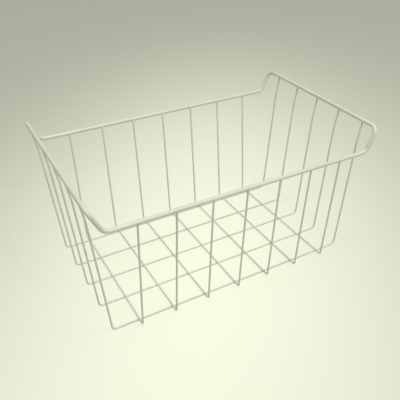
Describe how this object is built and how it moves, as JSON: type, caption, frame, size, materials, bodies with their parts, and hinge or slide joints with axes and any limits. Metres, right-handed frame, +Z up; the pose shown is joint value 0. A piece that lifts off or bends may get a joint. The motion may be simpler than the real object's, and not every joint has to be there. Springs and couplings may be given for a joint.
{
  "type": "wire produce basket",
  "caption": "Open rectangular basket of thin white-coated wires welded to a heavy rim rod that is low along both long sides and climbs to a raised rail at each end.",
  "frame": {"origin": "centre of the surface that the basket stands on, under the middle of its floor", "axes": "+X along the basket from one raised end rail to the other, +Y across it, +Z up through the mouth"},
  "size_m": [0.4208, 0.2638, 0.2159],
  "materials": {
    "rod_coat": "gloss",
    "wire_coat": "satin"
  },
  "bodies": {
    "root": {"rim_rod": "rod_coat", "cross_wire_1": "wire_coat", "cross_wire_2": "wire_coat", "cross_wire_3": "wire_coat", "cross_wire_4": "wire_coat", "cross_wire_5": "wire_coat", "cross_wire_6": "wire_coat", "cross_wire_7": "wire_coat", "long_wire_1": "wire_coat", "long_wire_2": "wire_coat", "long_wire_3": "wire_coat", "long_wire_4": "wire_coat", "long_wire_5": "wire_coat"}
  },
  "joints": []
}
